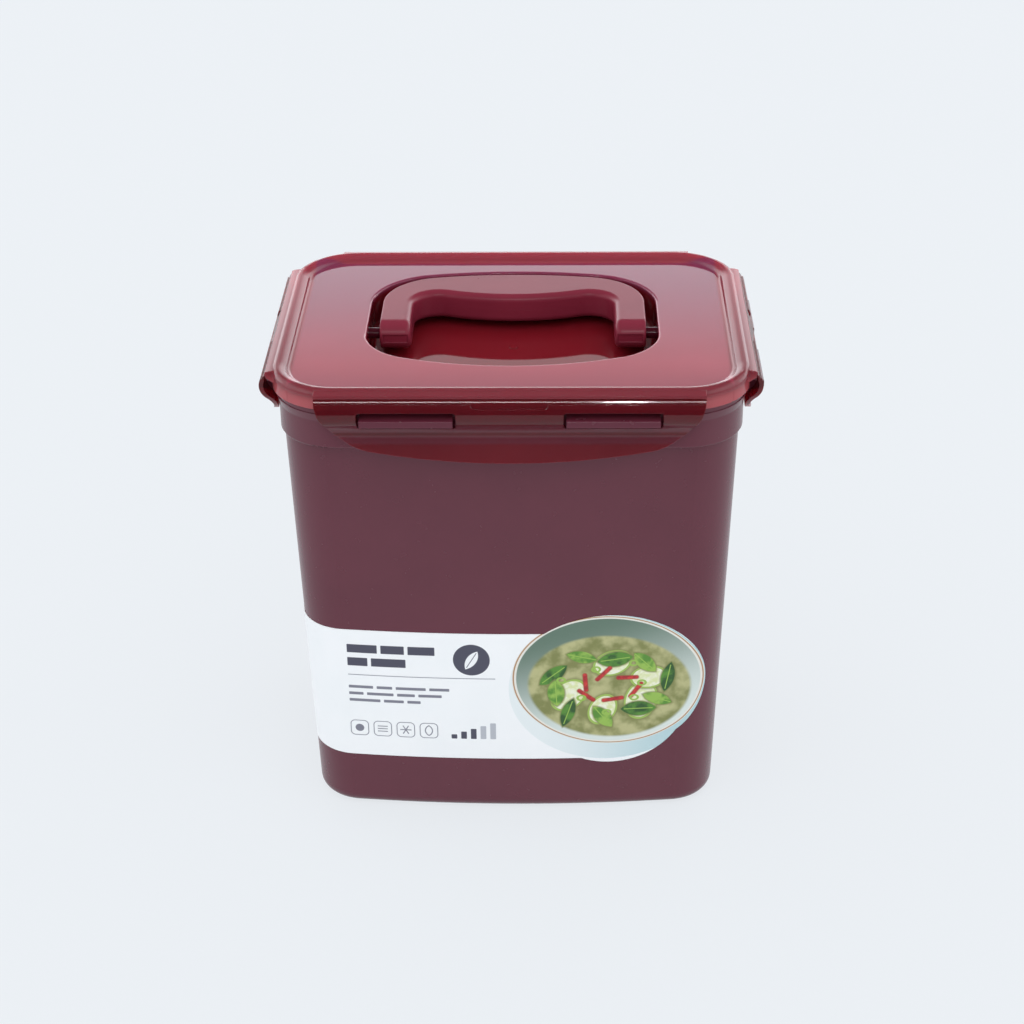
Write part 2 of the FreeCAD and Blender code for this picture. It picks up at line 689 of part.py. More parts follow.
def handle_outline(sketch, inset, end):
    """The U of the handle seen from above, its edges moved inwards by an inset."""
    side, inner = f"({HANDLE_HALF} - {inset})", f"({HANDLE_HALF} - arm_width + {inset})"
    corner, bow = f"(handle_corner - {inset})", f"(handle_bow - {inset})"
    lean = f"(({HANDLE_HALF} - handle_corner) / (handle_bow - handle_corner))"
    back = (f"({bow} * {lean})", f"(recess_back_centre + {corner} * sqrt(1 - {lean} ^ 2))")
    turn, front = f"(grip_corner + {inset})", f"(grip_bow - {inset})"
    across = f"({HANDLE_HALF} - arm_width - grip_corner)"
    tilt = f"({across} / (grip_bow + grip_corner))"
    grip = (f"({front} * {tilt})", f"({GRIP_BOW_CENTRE} - {front} * sqrt(1 - {tilt} ^ 2))")
    outline(sketch, [
        (side, end),
        (side, "recess_back_centre", corner, 1),
        (*back, bow, 1),
        (f"-{back[0]}", back[1], corner, 1),
        (f"-{side}", "recess_back_centre"),
        (f"-{side}", end),
        (f"-{inner}", end),
        (f"-{inner}", "grip_corner_centre", turn, -1),
        (f"-{grip[0]}", grip[1], front, 1),
        (*grip, turn, -1),
        (inner, "grip_corner_centre"),
        (inner, end),
    ])


def is_across(box, place):
    """An edge that lies wholly at a distance to the left or right of the middle."""
    return abs(abs(box.XMin) - place) < 1e-3 and abs(abs(box.XMax) - place) < 1e-3


def make_handle():
    """The handle: a bowed grip on two arms, round knuckles and pins, cored from below."""
    body = new_body("handle")
    plan = new_sketch(body, "handle_plan", "XY_Plane", HANDLE_LOW)
    handle_outline(plan, "0", f"(pivot_place - {KNUCKLE})")
    extrude(body, "Pad", "handle_block", plan, f"({HANDLE_TOP} - {HANDLE_LOW})")
    knuckle = new_sketch(body, "knuckle_outline", "YZ_Plane")
    front = f"(pivot_place - 2 * {KNUCKLE})"
    outline(knuckle, [
        ("pivot_place", f"({HANDLE_TOP} + {KNUCKLE})"),
        ("pivot_place", HANDLE_TOP, KNUCKLE, 1),
        (f"(pivot_place - {KNUCKLE})", PIVOT, KNUCKLE, 1),
        ("pivot_place", HANDLE_LOW),
        ("pivot_place", f"({HANDLE_LOW} - {KNUCKLE})"),
        (front, f"({HANDLE_LOW} - {KNUCKLE})"),
        (front, f"({HANDLE_TOP} + {KNUCKLE})"),
    ])
    extrude(body, "Pocket", "knuckles", knuckle, f"4 * {HANDLE_HALF}", both_ways=True)
    top = at_level(HANDLE_TOP)
    for name, radius, half in (("finger_edges", "finger_round", f"({HANDLE_HALF} - arm_width)"),
                               ("outer_edges", "handle_edge_round", HANDLE_HALF)):
        place = value(half)
        round_edges(body, name, radius, lambda box: top(box) and box.YLength > 1 and is_across(box, place))
    for hand in (-1, 1):
        name = "left" if hand < 0 else "right"
        slot = new_sketch(body, f"{name}_slot_outline", "XZ_Plane", f"({KNUCKLE} - pivot_place)")
        middle = f"({hand} * ({HANDLE_HALF} - arm_width / 2))"
        outline(slot, [
            (f"({middle} - knuckle_slot_wide / 2)", f"({PIVOT} - knuckle_slot_tall / 2)"),
            (f"({middle} + knuckle_slot_wide / 2)", f"({PIVOT} - knuckle_slot_tall / 2)"),
            (f"({middle} + knuckle_slot_wide / 2)", f"({PIVOT} + knuckle_slot_tall / 2)"),
            (f"({middle} - knuckle_slot_wide / 2)", f"({PIVOT} + knuckle_slot_tall / 2)"),
        ])
        extrude(body, "Pocket", f"{name}_knuckle_slot", slot, "knuckle_slot_deep")
    core = new_sketch(body, "handle_core_outline", "XY_Plane", HANDLE_LOW)
    handle_outline(core, "core_wall", f"(pivot_place + {KNUCKLE} + core_wall)")
    extrude(body, "Pocket", "handle_core", core, "core_depth", reverse=True)
    for place in range(-2, 3):
        rib = new_sketch(body, f"rib_{place + 3}_outline", "XY_Plane", f"({HANDLE_LOW} + rib_recess)")
        middle = f"({place} * rib_pitch)"
        left, right = f"({middle} - rib_wall / 2)", f"({middle} + rib_wall / 2)"
        near = f"({GRIP_BOW_CENTRE} - sqrt((grip_bow - finger_round) ^ 2 - {middle} ^ 2))"
        far = f"({BACK_BOW_CENTRE} + sqrt((handle_bow - core_wall / 2) ^ 2 - {middle} ^ 2))"
        outline(rib, [(left, near), (right, near), (right, far), (left, far)])
        extrude(body, "Pad", f"rib_{place + 3}", rib, "(core_depth - rib_recess)")
    for hand in (-1, 1):
        name = "left" if hand < 0 else "right"
        pin = new_sketch(body, f"{name}_pin_outline", "YZ_Plane", f"{hand} * ({HANDLE_HALF} - pin_radius)")
        circle(pin, "pivot_place", PIVOT, "pin_radius")
        extrude(body, "Pad", f"{name}_pin", pin, "(pin_length + pin_radius)", reverse=hand < 0)
    return body


def make_label():
    """The label: a thin sheet that follows the drafted wall round the front left corner."""
    body = new_body("label")
    top, low = "(panel_level - label_top_drop)", "(panel_level - label_low_drop)"
    high, deep = f"({top} + bowl_half_height)", f"({low} - bowl_half_height)"
    for kind, name, reach in (("AdditiveLoft", "outside", "(label_gap + label_wall)"),
                              ("SubtractiveLoft", "inside_face", "label_gap")):
        loft(body, kind, name, [
            wall_outline(body, f"{name}_top", high, reach),
            wall_outline(body, f"{name}_low", deep, reach)])
    left = "lid_half_width * 2"
    level = "(panel_level - bowl_drop)"
    shift = "(bowl_half_width - bowl_end)"
    crown = f"(({shift} ^ 2 + bowl_half_height ^ 2 - bowl_end ^ 2) / (2 * (bowl_half_height - bowl_end)))"
    join_x = f"({shift} * {crown} / ({crown} - bowl_end))"
    join_z = f"(bowl_end * ({crown} - bowl_half_height) / ({crown} - bowl_end))"
    start = f"sqrt({crown} ^ 2 - ({top} - {level} + {crown} - bowl_half_height) ^ 2)"
    frame(body, "label_front_trim", "XZ_Plane", [
        (f"-{left}", low),
        ("(bowl_place - bowl_foot_start)", low, "bowl_belly", 1),
        (f"(bowl_place + {join_x})", f"({level} - {join_z})", "bowl_end", 1),
        (f"(bowl_place + {join_x})", f"({level} + {join_z})", crown, 1),
        (f"(bowl_place - {start})", top),
        (f"-{left}", top),
    ])
    side = new_sketch(body, "label_back_trim_outline", "XY_Plane", deep)
    far = "lid_half_width * 4"
    outline(side, [(f"-{far}", "-label_side_end"), (far, "-label_side_end"), (far, far), (f"-{far}", far)])
    extrude(body, "Pocket", "label_back_trim", side, "lid_half_width * 4", reverse=True)
    return body


NODES = [
    make_tub(),
    make_lid(),
    make_seal(),
    make_latch("front_latch", "front", 180),
    make_latch("back_latch", "back", 0),
    make_latch("left_latch", "left", 90),
    make_latch("right_latch", "right", -90),
    make_handle(),
    make_label(),
]
doc.recompute()

for item in doc.Objects:
    if "Invalid" in item.State or "Error" in item.State:
        raise RuntimeError(f"{item.Name} did not build: {item.State}")
os.makedirs("parts", exist_ok=True)
for node in NODES:
    if node.Shape.isNull() or not node.Shape.isValid():
        raise RuntimeError(f"{node.Label} has no valid shape")
    if len(node.Shape.Solids) != 1:
        raise RuntimeError(f"{node.Label} is {len(node.Shape.Solids)} solids")
for node in NODES:
    node.Shape.exportStep(f"parts/{node.Label}.step")
    print(f"{node.Label}: {node.Shape.Volume / 1000:.1f} cm3, {len(node.Shape.Faces)} faces")
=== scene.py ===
# %% [markdown]
# # Kimchi container
# This lesson dresses a food keeper that is already built to size. The pieces arrive as exact
# solids, so the work here is what an eye sees first: plum and wine-red plastic, the gloss and
# glow of a thin lid, a printed film label, and the plain light of a product photograph.

# %% Load the construction
import math

import bpy
from mathutils import Euler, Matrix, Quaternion, Vector

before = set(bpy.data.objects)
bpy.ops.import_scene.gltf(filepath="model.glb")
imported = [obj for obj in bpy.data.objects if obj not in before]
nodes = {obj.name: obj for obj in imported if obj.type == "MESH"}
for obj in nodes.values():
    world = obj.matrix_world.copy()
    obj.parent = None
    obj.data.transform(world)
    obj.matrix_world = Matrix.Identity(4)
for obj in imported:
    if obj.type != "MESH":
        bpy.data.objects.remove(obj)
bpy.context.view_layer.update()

print("nodes:", ", ".join(sorted(nodes)))

# %% [markdown]
# ## Camera
# The camera stands in front of the container and looks down on its lid, a long lens away, so
# that the walls converge only a little. Its place and lens come from fitting the container's
# outlines to the photograph.

# %% Camera
CAMERA_PLACE = (0.0202, -0.8795, 0.6107)
CAMERA_PITCH = math.radians(29.2)
CAMERA_YAW = 0.0245
CAMERA_ROLL = 0.0121
FOCAL_PIXELS = 2178.2
IMAGE_PIXELS = 1024

bpy.ops.object.camera_add(location=CAMERA_PLACE)
camera = bpy.context.object
camera.data.sensor_width = 36
camera.data.lens = camera.data.sensor_width * FOCAL_PIXELS / IMAGE_PIXELS
aim = Euler((math.pi / 2 - CAMERA_PITCH, 0, CAMERA_YAW)).to_quaternion()
camera.rotation_mode = "QUATERNION"
camera.rotation_quaternion = aim @ Quaternion((0, 0, 1), -CAMERA_ROLL)
bpy.context.scene.camera = camera
bpy.context.scene.view_settings.view_transform = "Standard"
print("lens:", round(camera.data.lens, 1), "mm")

# %% [markdown]
# ## Shader maths
# A pattern is easier to read as an expression than as a web of nodes. This small class wraps a
# socket, so that plus, minus and times add the Math nodes by themselves.


# %% Shader maths
class Wire:
    """A socket of a node tree that can be used in expressions."""

    def __init__(self, tree, socket):
        self.tree, self.socket = tree, socket

    def node(self, kind, settings=None, **sockets):
        """Add a node, set it up, then give its sockets values or links."""
        made = self.tree.nodes.new(kind)
        for name, setting in (settings or {}).items():
            setattr(made, name, setting)
        for name, given in sockets.items():
            place = int(name[1:]) if name[0] == "i" and name[1:].isdigit() else name.replace("_", " ")
            if isinstance(given, Wire):
                self.tree.links.new(given.socket, made.inputs[place])
            else:
                made.inputs[place].default_value = given
        return made

    def maths(self, operation, *values):
        given = {f"i{index}": value for index, value in enumerate(values)}
        made = self.node("ShaderNodeMath", {"operation": operation}, **given)
        return Wire(self.tree, made.outputs[0])

    def __add__(self, other):
        return self.maths("ADD", self, other)

    def __sub__(self, other):
        return self.maths("SUBTRACT", self, other)

    def __mul__(self, other):
        return self.maths("MULTIPLY", self, other)

    def __rsub__(self, other):
        return self.maths("SUBTRACT", other, self)

    def __abs__(self):
        return self.maths("ABSOLUTE", self)

    __radd__, __rmul__ = __add__, __mul__

    def larger(self, other):
        return self.maths("MAXIMUM", self, other)

    def smaller(self, other):
        return self.maths("MINIMUM", self, other)

    def vector_maths(self, operation, *values):
        given = {f"i{index}": value for index, value in enumerate(values)}
        made = self.node("ShaderNodeVectorMath", {"operation": operation}, **given)
        return Wire(self.tree, made.outputs["Vector"])

    def nearness(self):
        """1 in the middle of these coordinates, 0 from one unit away from it."""
        made = self.node("ShaderNodeTexGradient", {"gradient_type": "SPHERICAL"}, Vector=self)
        return Wire(self.tree, made.outputs["Fac"])

    def seen_from(self, place, turn=(0, 0, 0), size=(1, 1, 1)):
        """These coordinates as measured from a place, by something turned and sized like that."""
        made = self.node("ShaderNodeMapping", {"vector_type": "TEXTURE"},
                         Vector=self, Location=place, Rotation=turn, Scale=size)
        return Wire(self.tree, made.outputs[0])

    def ramp(self, low, high):
        """0 at low and 1 at high, smooth between, and flat beyond."""
        made = self.node("ShaderNodeMapRange", {"interpolation_type": "SMOOTHSTEP"},
                         Value=self, From_Min=low, From_Max=high)
        return Wire(self.tree, made.outputs["Result"])

    def blend(self, first, second):
        """A colour that goes from first to second as this value goes from 0 to 1."""
        made = self.node("ShaderNodeMix", {"data_type": "RGBA"}, i0=self, i6=first, i7=second)
        return Wire(self.tree, made.outputs[2])

    def noise(self, scale, detail=2.0):
        """Noise about 0.5, on the piece's own coordinates. This wire is those coordinates."""
        made = self.node("ShaderNodeTexNoise", Vector=self, Scale=scale, Detail=detail)
        return Wire(self.tree, made.outputs["Fac"])

    def axes(self, scale=1000.0):
        """The three coordinates, in millimetres. This wire is the coordinates in metres."""
        made = self.node("ShaderNodeSeparateXYZ", Vector=self)
        return [Wire(self.tree, made.outputs[name]) * scale for name in "XYZ"]

    def rounded_normal(self, radius):
        """The surface's normal, as if its sharp edges had this radius."""
        made = self.node("ShaderNodeBevel", {"samples": 6}, Radius=radius)
        return Wire(self.tree, made.outputs["Normal"])

    def relief(self, depth, strength, radius):
        """A surface that rises by this value times a depth, with its sharp edges rounded."""
        made = self.node("ShaderNodeBump", Height=self, Distance=depth, Strength=strength,
                         Normal=self.rounded_normal(radius))
        return Wire(self.tree, made.outputs["Normal"])


def new_material(name):
    """An empty material: itself, its tree's Object coordinates and its main shader."""
    material = bpy.data.materials.new(name)
    material.use_nodes = True
    tree = material.node_tree
    tree.nodes.clear()
    output = tree.nodes.new("ShaderNodeOutputMaterial")
    place = Wire(tree, tree.nodes.new("ShaderNodeTexCoord").outputs["Object"])
    shader = tree.nodes.new("ShaderNodeBsdfPrincipled")
    tree.links.new(shader.outputs[0], output.inputs["Surface"])
    return material, place, shader


def link(wire, shader, name):
    wire.tree.links.new(wire.socket, shader.inputs[name])


def mix_with(material, shader, other, share):
    """Show a share of another shader in place of the material's main one."""
    tree = material.node_tree
    both = tree.nodes.new("ShaderNodeMixShader")
    link(share, both, "Fac")
    tree.links.new(shader.outputs[0], both.inputs[1])
    tree.links.new(other.outputs[0], both.inputs[2])
    output = next(node for node in tree.nodes if node.type == "OUTPUT_MATERIAL")
    tree.links.new(both.outputs[0], output.inputs["Surface"])


def colour(red, green, blue):
    """A colour as the eye reads it, from 0 to 255, turned into light for the shader."""
    shares = [channel / 255 for channel in (red, green, blue)]
    return tuple(s / 12.92 if s <= 0.04045 else ((s + 0.055) / 1.055) ** 2.4 for s in shares) + (1.0,)


# %% [markdown]
# ## Plum plastic of the tub
# Polypropylene from a mould with a satin finish: a dark plum that scatters most light and keeps a
# soft sheen at grazing angles. A faint mottling breaks the colour, and a fine one the gloss.

# %% Plum plastic
PLUM, PLUM_DEEP = colour(97, 40, 55), colour(94, 38, 53)

plum, place, shader = new_material("plum_plastic")
mottle = place.noise(38.0, 3.0).ramp(0.3, 0.7)
link(mottle.blend(PLUM_DEEP, PLUM), shader, "Base Color")
link(place.noise(200.0) * 0.02 + 0.26, shader, "Roughness")
shader.inputs["IOR"].default_value = 1.49
print("plum plastic:", len(plum.node_tree.nodes), "nodes")

# %% [markdown]
# ## Wine-red plastic of the lid and its latches
# The same plastic with far less pigment, in a polished mould. Three things make it what it is:
# light that enters it and comes out redder nearby, which is subsurface scattering; a part of the
# light that goes straight through, tinted, so that the recess's walls show below the panel and
# the insides of the latches glow; and a clean gloss over both. So each of these materials is a
# mix of a scattering shader and a tinted see-through one. A mould's edges are never sharp, so the
# normals turn over a small radius there, and the edges catch the light.


# %% Wine-red plastic
EDGE_ROUND = 0.0005
WINE_TINT = colour(216, 62, 84)
RIM_FOOT_WIDE, RIM_FOOT_DEEP = 92.6, 66.5
# These levels place the painted shade in the recess and the pale, painted skirt below the rim.
RECESS_TOP, PANEL_LOW, SKIRT_TOP, RIM_TOP = 212.0, 214.6, 211.0, 216.6
# Levels of the latch's painted light: the top of the lip's painted reflection, the painted shadow
# line at the fold, and the top of the paler band.
FLARE_TOP, TROUGH_FOLD, TROUGH_TOP = 193.0, 198.2, 202.6


def clear_plastic(name, shade, clearness):
    """A wine-red plastic. Its colour, painted light included, and how much light goes through it
    depend on the place.
    """
    material, place, shader = new_material(name)
    link(shade(place), shader, "Base Color")
    link(place.noise(300.0) * 0.03 + 0.03, shader, "Roughness")
    link(place.rounded_normal(EDGE_ROUND), shader, "Normal")
    shader.inputs["IOR"].default_value = 1.5
    shader.inputs["Subsurface Weight"].default_value = 0.35
    shader.inputs["Subsurface Radius"].default_value = (0.004, 0.001, 0.0014)
    shader.inputs["Subsurface Scale"].default_value = 1.0
    clear = material.node_tree.nodes.new("ShaderNodeBsdfTransparent")
    clear.inputs["Color"].default_value = WINE_TINT
    mix_with(material, shader, clear, clearness(place))
    print(name + ":", len(material.node_tree.nodes), "nodes")
    return material


def rim_mask(place):
    """1 on the raised rim round the panel and its skirt, 0 on the panel and inside."""
    across, deep = place.axes()[:2]
    outside = (abs(across) - RIM_FOOT_WIDE).larger(abs(deep) - RIM_FOOT_DEEP)
    return outside.ramp(-1.0, 1.0)


def lid_tone_and_painted_light(place):
    """Painted light: a redder panel front, a greyer back, deep red shade in the recess, a pale skirt.
    """
    deep, up = place.axes()[1:]
    mottle = place.noise(22.0, 3.0).ramp(0.3, 0.7)
    middle = mottle.blend(colour(166, 58, 75), colour(172, 61, 79))
    # Painted light: the panel is darker along its front edge, redder behind it as painted glow of
    # light through it, and greyer towards the back as painted reflection.
    front = deep.ramp(-64.0, -40.0).blend(colour(154, 56, 74), middle)
    panel = deep.ramp(-60.0, 55.0).blend(front, colour(136, 56, 84))
    # Painted shade: below the panel's level, the recess turns a deep, dark red.
    inside = up.ramp(RECESS_TOP, PANEL_LOW).blend(colour(126, 24, 34), panel)
    # Painted light: the raised rim is darker at its front and lighter at its back.
    rim_painted_light = deep.ramp(-70.0, 70.0).blend(colour(146, 64, 74), colour(172, 72, 86))
    # Painted highlight: the skirt below the rim is given a pale pink.
    rim = up.ramp(SKIRT_TOP, RIM_TOP).blend(colour(204, 104, 110), rim_painted_light)
    return rim_mask(place).blend(inside, rim)


def latch_tone_and_painted_light(place):
    """Deep red on the bulge; painted reflections make it paler below it and on the flared lip."""
    up = place.axes()[2]
    mottle = place.noise(22.0, 3.0).ramp(0.3, 0.7)
    bulge = mottle.blend(colour(97, 19, 28), colour(103, 22, 32))
    # Painted light: a deep red shadow line at the fold, inside a paler band of painted floor
    # reflection.
    trough_painted_light = abs(up - TROUGH_FOLD).ramp(0.3, 1.3).blend(bulge, colour(116, 56, 67))
    # Painted reflection: the flared lip is given a paler red than the bulge.
    lip_painted_reflection = mottle.blend(colour(117, 42, 50), colour(123, 46, 54))
    above = up.ramp(TROUGH_TOP, TROUGH_TOP + 2.2).blend(trough_painted_light, bulge)
    return up.ramp(FLARE_TOP, FLARE_TOP + 1.6).blend(lip_painted_reflection, above)


def lid_clearness(place):
    return rim_mask(place) * 0.22 + 0.14


def latch_clearness(place):
    return place.noise(22.0) * 0.04 + 0.3


lid_wine = clear_plastic("lid_wine", lid_tone_and_painted_light, lid_clearness)
latch_wine = clear_plastic("latch_wine", latch_tone_and_painted_light, latch_clearness)

# %% [markdown]
# ## Handle plastic
# The handle is moulded in the lid's red with more pigment and a satin face. Its pins stay dark and
# polished. The two halves of its mould met half way up, which leaves a fine line round the grip.

# %% Handle plastic
HANDLE_PARTING, PIN_ROOT = 209.2, 58.6
HANDLE_EDGE = 0.0006

handle_red, place, shader = new_material("handle_red")
across, up = place.axes()[::2]
mottle = place.noise(30.0, 3.0).ramp(0.3, 0.7)
grip = mottle.blend(colour(122, 36, 54), colour(129, 40, 58))
pins = abs(across).ramp(PIN_ROOT, PIN_ROOT + 0.4)
link(pins.blend(grip, colour(72, 16, 30)), shader, "Base Color")
link((place.noise(500.0) * 0.06 + 0.26) - pins * 0.18, shader, "Roughness")
seam = 1.0 - abs(up - HANDLE_PARTING).ramp(0.05, 0.3)
link(seam.relief(0.00004, 0.5, HANDLE_EDGE), shader, "Normal")
shader.inputs["IOR"].default_value = 1.49
shader.inputs["Specular IOR Level"].default_value = 0.2
print("handle plastic:", len(handle_red.node_tree.nodes), "nodes")

# %% [markdown]
# ## Silicone of the seal
# The seal fills the roof of the lid's channel, so it shows only as a pale rim through the lid and
# when the lid is lifted. Silicone is milky: it scatters light deep inside and keeps a dull skin.

# %% Silicone
milky, place, shader = new_material("milky_silicone")
cloud = place.noise(60.0, 3.0).ramp(0.3, 0.7)
link(cloud.blend(colour(209, 205, 202), colour(220, 217, 214)), shader, "Base Color")
link(place.noise(400.0) * 0.1 + 0.45, shader, "Roughness")
shader.inputs["Subsurface Weight"].default_value = 0.3
shader.inputs["Subsurface Radius"].default_value = (0.003, 0.0025, 0.002)
shader.inputs["Subsurface Scale"].default_value = 1.0
print("silicone:", len(milky.node_tree.nodes), "nodes")

# %% [markdown]
# ## Printed film of the label
# The label is a white film, cut round a bowl at its right end. Its print here is a design of its
# own: plain bars where a maker would put words, four small signs, and a bowl of vegetables made of
# simple shapes. Each shape is a distance: negative inside, zero on its edge. Three kinds of shape
# draw everything: discs, bars and leaves. They stay sharp at any size and need no picture.


# %% Shapes to print with
class Print:
    """Layers of ink on the label. Places are millimetres across and up, from the container's base."""

    # Shapes are seen flat, so depth counts for nothing, and each is known out to VIEW of its sizes.
    DEPTH, VIEW = 1e3, 4.0

    def __init__(self, place, paper):
        self.place, self.ink = place, paper

    def local(self, x, z, wide, high, angle):
        """Coordinates about a point, turned by an angle in degrees, in units of two sizes."""
        return self.place.seen_from((x / 1e3, 0, z / 1e3), (0, -math.radians(angle), 0),
                                    (self.VIEW * wide / 1e3, self.DEPTH, self.VIEW * high / 1e3))

    def disc(self, x, z, wide, high=None, angle=0.0):
        """An ellipse given by its half sizes."""
        high = high or wide
        size, near = min(wide, high), self.local(x, z, wide, high, angle).nearness()
        return near.maths("MULTIPLY_ADD", near, -self.VIEW * size, (self.VIEW - 1.0) * size)

    def bar(self, x, z, wide, high, corner=0.3, angle=0.0):
        """A rectangle with round corners, given by its middle and whole sizes."""
        core = ((wide / 2 - corner) / self.VIEW, 0.0, (high / 2 - corner) / self.VIEW)
        spot = self.local(x, z, 1.0, 1.0, angle)
        spot = spot.vector_maths("SUBTRACT", spot.vector_maths("ABSOLUTE", spot), core)
        near = spot.vector_maths("MAXIMUM", spot, (0.0, 0.0, 0.0)).nearness()
        return near.maths("MULTIPLY_ADD", near, -self.VIEW, self.VIEW - corner)

    def leaf(self, x, z, long, wide, angle=0.0):
        """Where two discs overlap, a leaf with a point at each end."""
        lean, radius = math.radians(angle), (long ** 2 + wide ** 2) / (4 * wide)
        shift = radius - wide / 2
        over = self.disc(x - shift * math.sin(lean), z + shift * math.cos(lean), radius)
        under = self.disc(x + shift * math.sin(lean), z - shift * math.cos(lean), radius)
        return over.larger(under)

    def lay(self, shape, ink, edge=0.12):
        """Print one ink inside a shape."""
        self.ink = shape.ramp(edge, -edge).blend(self.ink, ink)

    def line(self, shape, thick, ink, edge=0.12):
        """Print one ink along a shape's edge."""
        self.lay(abs(shape) - thick / 2, ink, edge)


# %% Film and bars of the label
PAPER, PAPER_WARM = colour(249, 251, 251), colour(252, 253, 253)
SLATE, SOFT_SLATE, PALE_SLATE = colour(74, 74, 90), colour(128, 128, 140), colour(186, 189, 196)
WORD_ROWS = {
    86.5: (4.4, SLATE, (13.5, 10.5, 12.0)),
    79.5: (4.4, SLATE, (9.0, 15.5)),
    66.0: (1.5, SOFT_SLATE, (11.0, 7.0, 13.5, 9.0)),
    62.4: (1.5, SOFT_SLATE, (6.5, 12.0, 8.0, 10.5)),
    58.8: (1.5, SOFT_SLATE, (14.0, 9.0, 6.0)),
}
LEFT_EDGE, WORD_GAP, RULE_LEVEL = -74.0, 1.6, 72.5

label_film, place, shader = new_material("label_film")
art = Print(place, place.noise(45.0, 2.0).ramp(0.3, 0.7).blend(PAPER, PAPER_WARM))
for level, (tall, ink, words) in WORD_ROWS.items():
    start, row = LEFT_EDGE, None
    for word in words:
        block = art.bar(start + word / 2, level, word, tall)
        row = block if row is None else row.smaller(block)
        start += word + WORD_GAP
    art.lay(row, ink)
art.lay(art.bar(-41.0, RULE_LEVEL, 66.0, 0.4, 0.1), SOFT_SLATE)
print("bars of the label:", len(WORD_ROWS), "rows")

# %% Badge and signs of the label
BADGE_X, BADGE_Z, BADGE_RADIUS = -18.5, 82.5, 8.2
LEAF_Z, LEAF_LEAN = 82.3, 60.0
SIGN_LEVEL, SIGN_SIZE, SIGN_PLACES = 43.5, 8.0, (-70.0, -59.5, -49.0, -38.5)
STEPS, STEP_X, STEP_FOOT, STEP_PITCH = 5, -27.0, 39.5, 4.4

art.lay(art.disc(BADGE_X, BADGE_Z, BADGE_RADIUS), SLATE)
art.lay(art.leaf(BADGE_X, LEAF_Z, 11.0, 4.6, LEAF_LEAN), PAPER)
art.lay(art.bar(BADGE_X, LEAF_Z, 9.0, 0.35, 0.1, LEAF_LEAN), SLATE)
for middle in SIGN_PLACES:
    art.line(art.bar(middle, SIGN_LEVEL, SIGN_SIZE, SIGN_SIZE, 2.0), 0.4, SOFT_SLATE)
signs = art.disc(SIGN_PLACES[0], SIGN_LEVEL, 2.0)
for rise in (-1.4, 0.0, 1.4):
    signs = signs.smaller(art.bar(SIGN_PLACES[1], SIGN_LEVEL + rise, 4.6, 0.5, 0.2))
for angle in (0.0, 60.0, 120.0):
    signs = signs.smaller(art.bar(SIGN_PLACES[2], SIGN_LEVEL, 5.2, 0.5, 0.2, angle))
art.lay(signs, SOFT_SLATE)
art.line(art.leaf(SIGN_PLACES[3], SIGN_LEVEL, 5.4, 3.2, 90.0), 0.5, SOFT_SLATE)
for step in range(STEPS):
    tall = 2.4 + 1.6 * step
    ink = SLATE if step < 3 else PALE_SLATE
    art.lay(art.bar(STEP_X + STEP_PITCH * step, STEP_FOOT + tall / 2, 2.6, tall, 0.4), ink)
print("signs of the label:", len(SIGN_PLACES), "and", STEPS, "rising bars")

# %% Bowl of the label
BOWL_X, BOWL_Z, BOWL_LEAN = 42.5, 68.8, -6.0
CELADON, CELADON_DEEP = colour(222, 232, 226), colour(98, 122, 106)
BROTH, BROTH_DEEP = colour(188, 186, 134), colour(130, 134, 78)
IVORY, SKIN, CORE = colour(244, 245, 224), colour(160, 190, 92), colour(222, 230, 170)
LEAF, LEAF_DARK, LEAF_LIGHT = colour(88, 142, 52), colour(44, 86, 38), colour(152, 190, 84)
RED, RED_DARK = colour(214, 62, 58), colour(158, 36, 42)
RADISHES = ((200.0, 9.6), (320.0, 10.4), (85.0, 9.0), (262.0, 8.6), (20.0, 8.4))
LEAVES, STRIPS, CHIVES = 10, 6, 7

across, up = place.axes()[::2]
bowl_side = across.ramp(10.0, 80.0).blend(colour(236, 243, 243), colour(184, 214, 218))
art.lay(art.disc(BOWL_X, BOWL_Z - 2.0, 44.6, 38.6), bowl_side)
rim = art.disc(BOWL_X, BOWL_Z + 2.2, 43.2, 34.2, BOWL_LEAN)
art.lay(rim, colour(236, 234, 224))
art.lay(rim + 1.5, (up - across * 0.3).ramp(28.0, 92.0).blend(CELADON, CELADON_DEEP))
art.line(rim + 0.5, 0.5, colour(178, 136, 98))
broth = art.disc(BOWL_X + 0.5, BOWL_Z - 1.2, 36.5, 27.0, BOWL_LEAN)
art.lay(broth, place.noise(120.0, 3.0).ramp(0.35, 0.65).blend(BROTH_DEEP, BROTH), 0.8)

# %% [markdown]
# The vegetables go down in layers, the lowest first: rounds of radish, then a wreath of leaves
# round the bowl, then strips of red pepper and small rings of chive. Their places come from a turn
# about the bowl, so the layout is a wreath with an open middle. Noise streaks the main inks, which
# keeps the shapes from looking like stickers.


# %% Vegetables of the label
def about_bowl(turn, wide, high):
    """A point on an ellipse about the bowl's middle, at a turn in degrees."""
    angle = math.radians(turn)
    return BOWL_X + wide * math.cos(angle), BOWL_Z - 1.0 + high * math.sin(angle)


